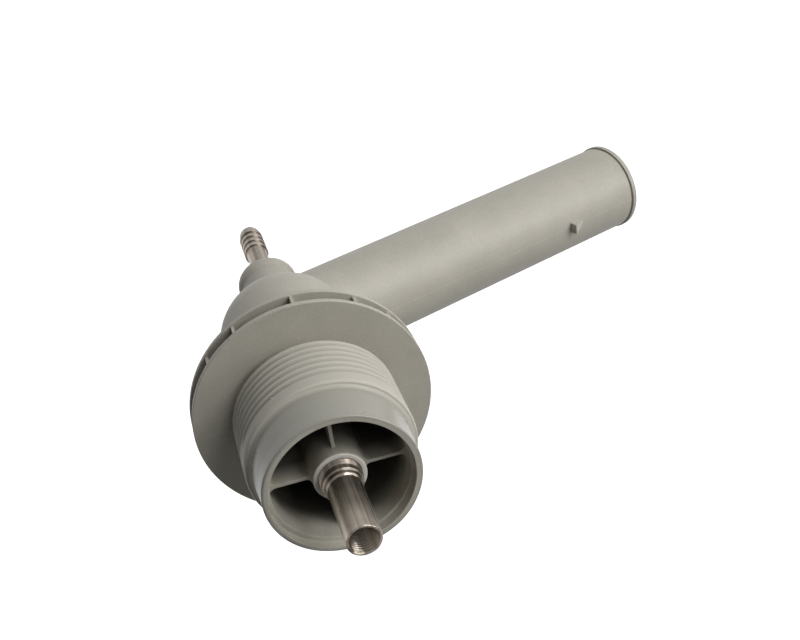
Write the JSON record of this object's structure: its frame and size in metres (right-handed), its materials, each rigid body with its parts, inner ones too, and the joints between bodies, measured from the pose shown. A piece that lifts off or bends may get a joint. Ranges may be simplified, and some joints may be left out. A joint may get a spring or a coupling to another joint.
{
  "type": "dishwasher wash arm holder",
  "caption": "Plastic wash arm holder: double-disc flange, threaded collar, webbed nozzle with a steel rinse spindle, domed elbow, slanted feed tube and barbed steel hose tail.",
  "frame": {"origin": "centre of the flange's seating face, on the spindle's axis", "axes": "+Z along the spindle's axis, out of the nozzle; +X on the side the feed tube leaves"},
  "size_m": [0.25, 0.1, 0.2649],
  "materials": {
    "moulding": "satin moulded polypropylene",
    "steel": "turned and polished stainless steel",
    "seal": "matt rubber"
  },
  "bodies": {
    "root": {"holder_body": "moulding", "rinse_spindle": "steel", "spindle_seal": "seal", "hose_tail": "steel", "tail_seal": "seal"}
  },
  "joints": []
}
